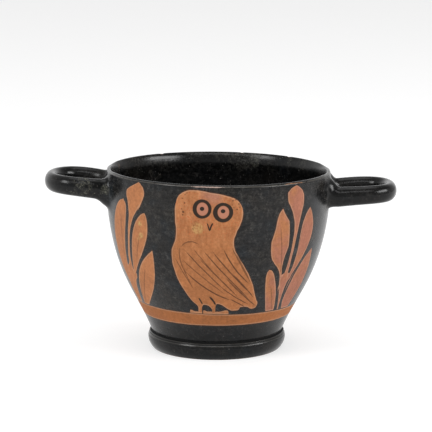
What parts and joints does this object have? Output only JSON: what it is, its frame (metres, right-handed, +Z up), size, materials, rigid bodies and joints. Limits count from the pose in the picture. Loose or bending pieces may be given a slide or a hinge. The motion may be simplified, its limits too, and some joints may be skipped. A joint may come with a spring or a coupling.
{
  "type": "skyphos",
  "caption": "Deep two-handled drinking cup of fired clay on a ring foot, with an owl between olive sprigs painted on its sides.",
  "frame": {"origin": "on the plane that the foot stands on, below the middle of the whole cup's box", "axes": "+Z up out of the mouth, +X towards the right handle, -Y towards the owl side that the picture shows"},
  "size_m": [0.1534, 0.0984, 0.0797],
  "materials": {
    "fired_clay": "black gloss slip over orange-red clay, with the owl, the sprigs and the ground band left in the clay's colour, worn and speckled with crust"
  },
  "bodies": {
    "root": {"skyphos": "fired_clay"}
  },
  "joints": []
}
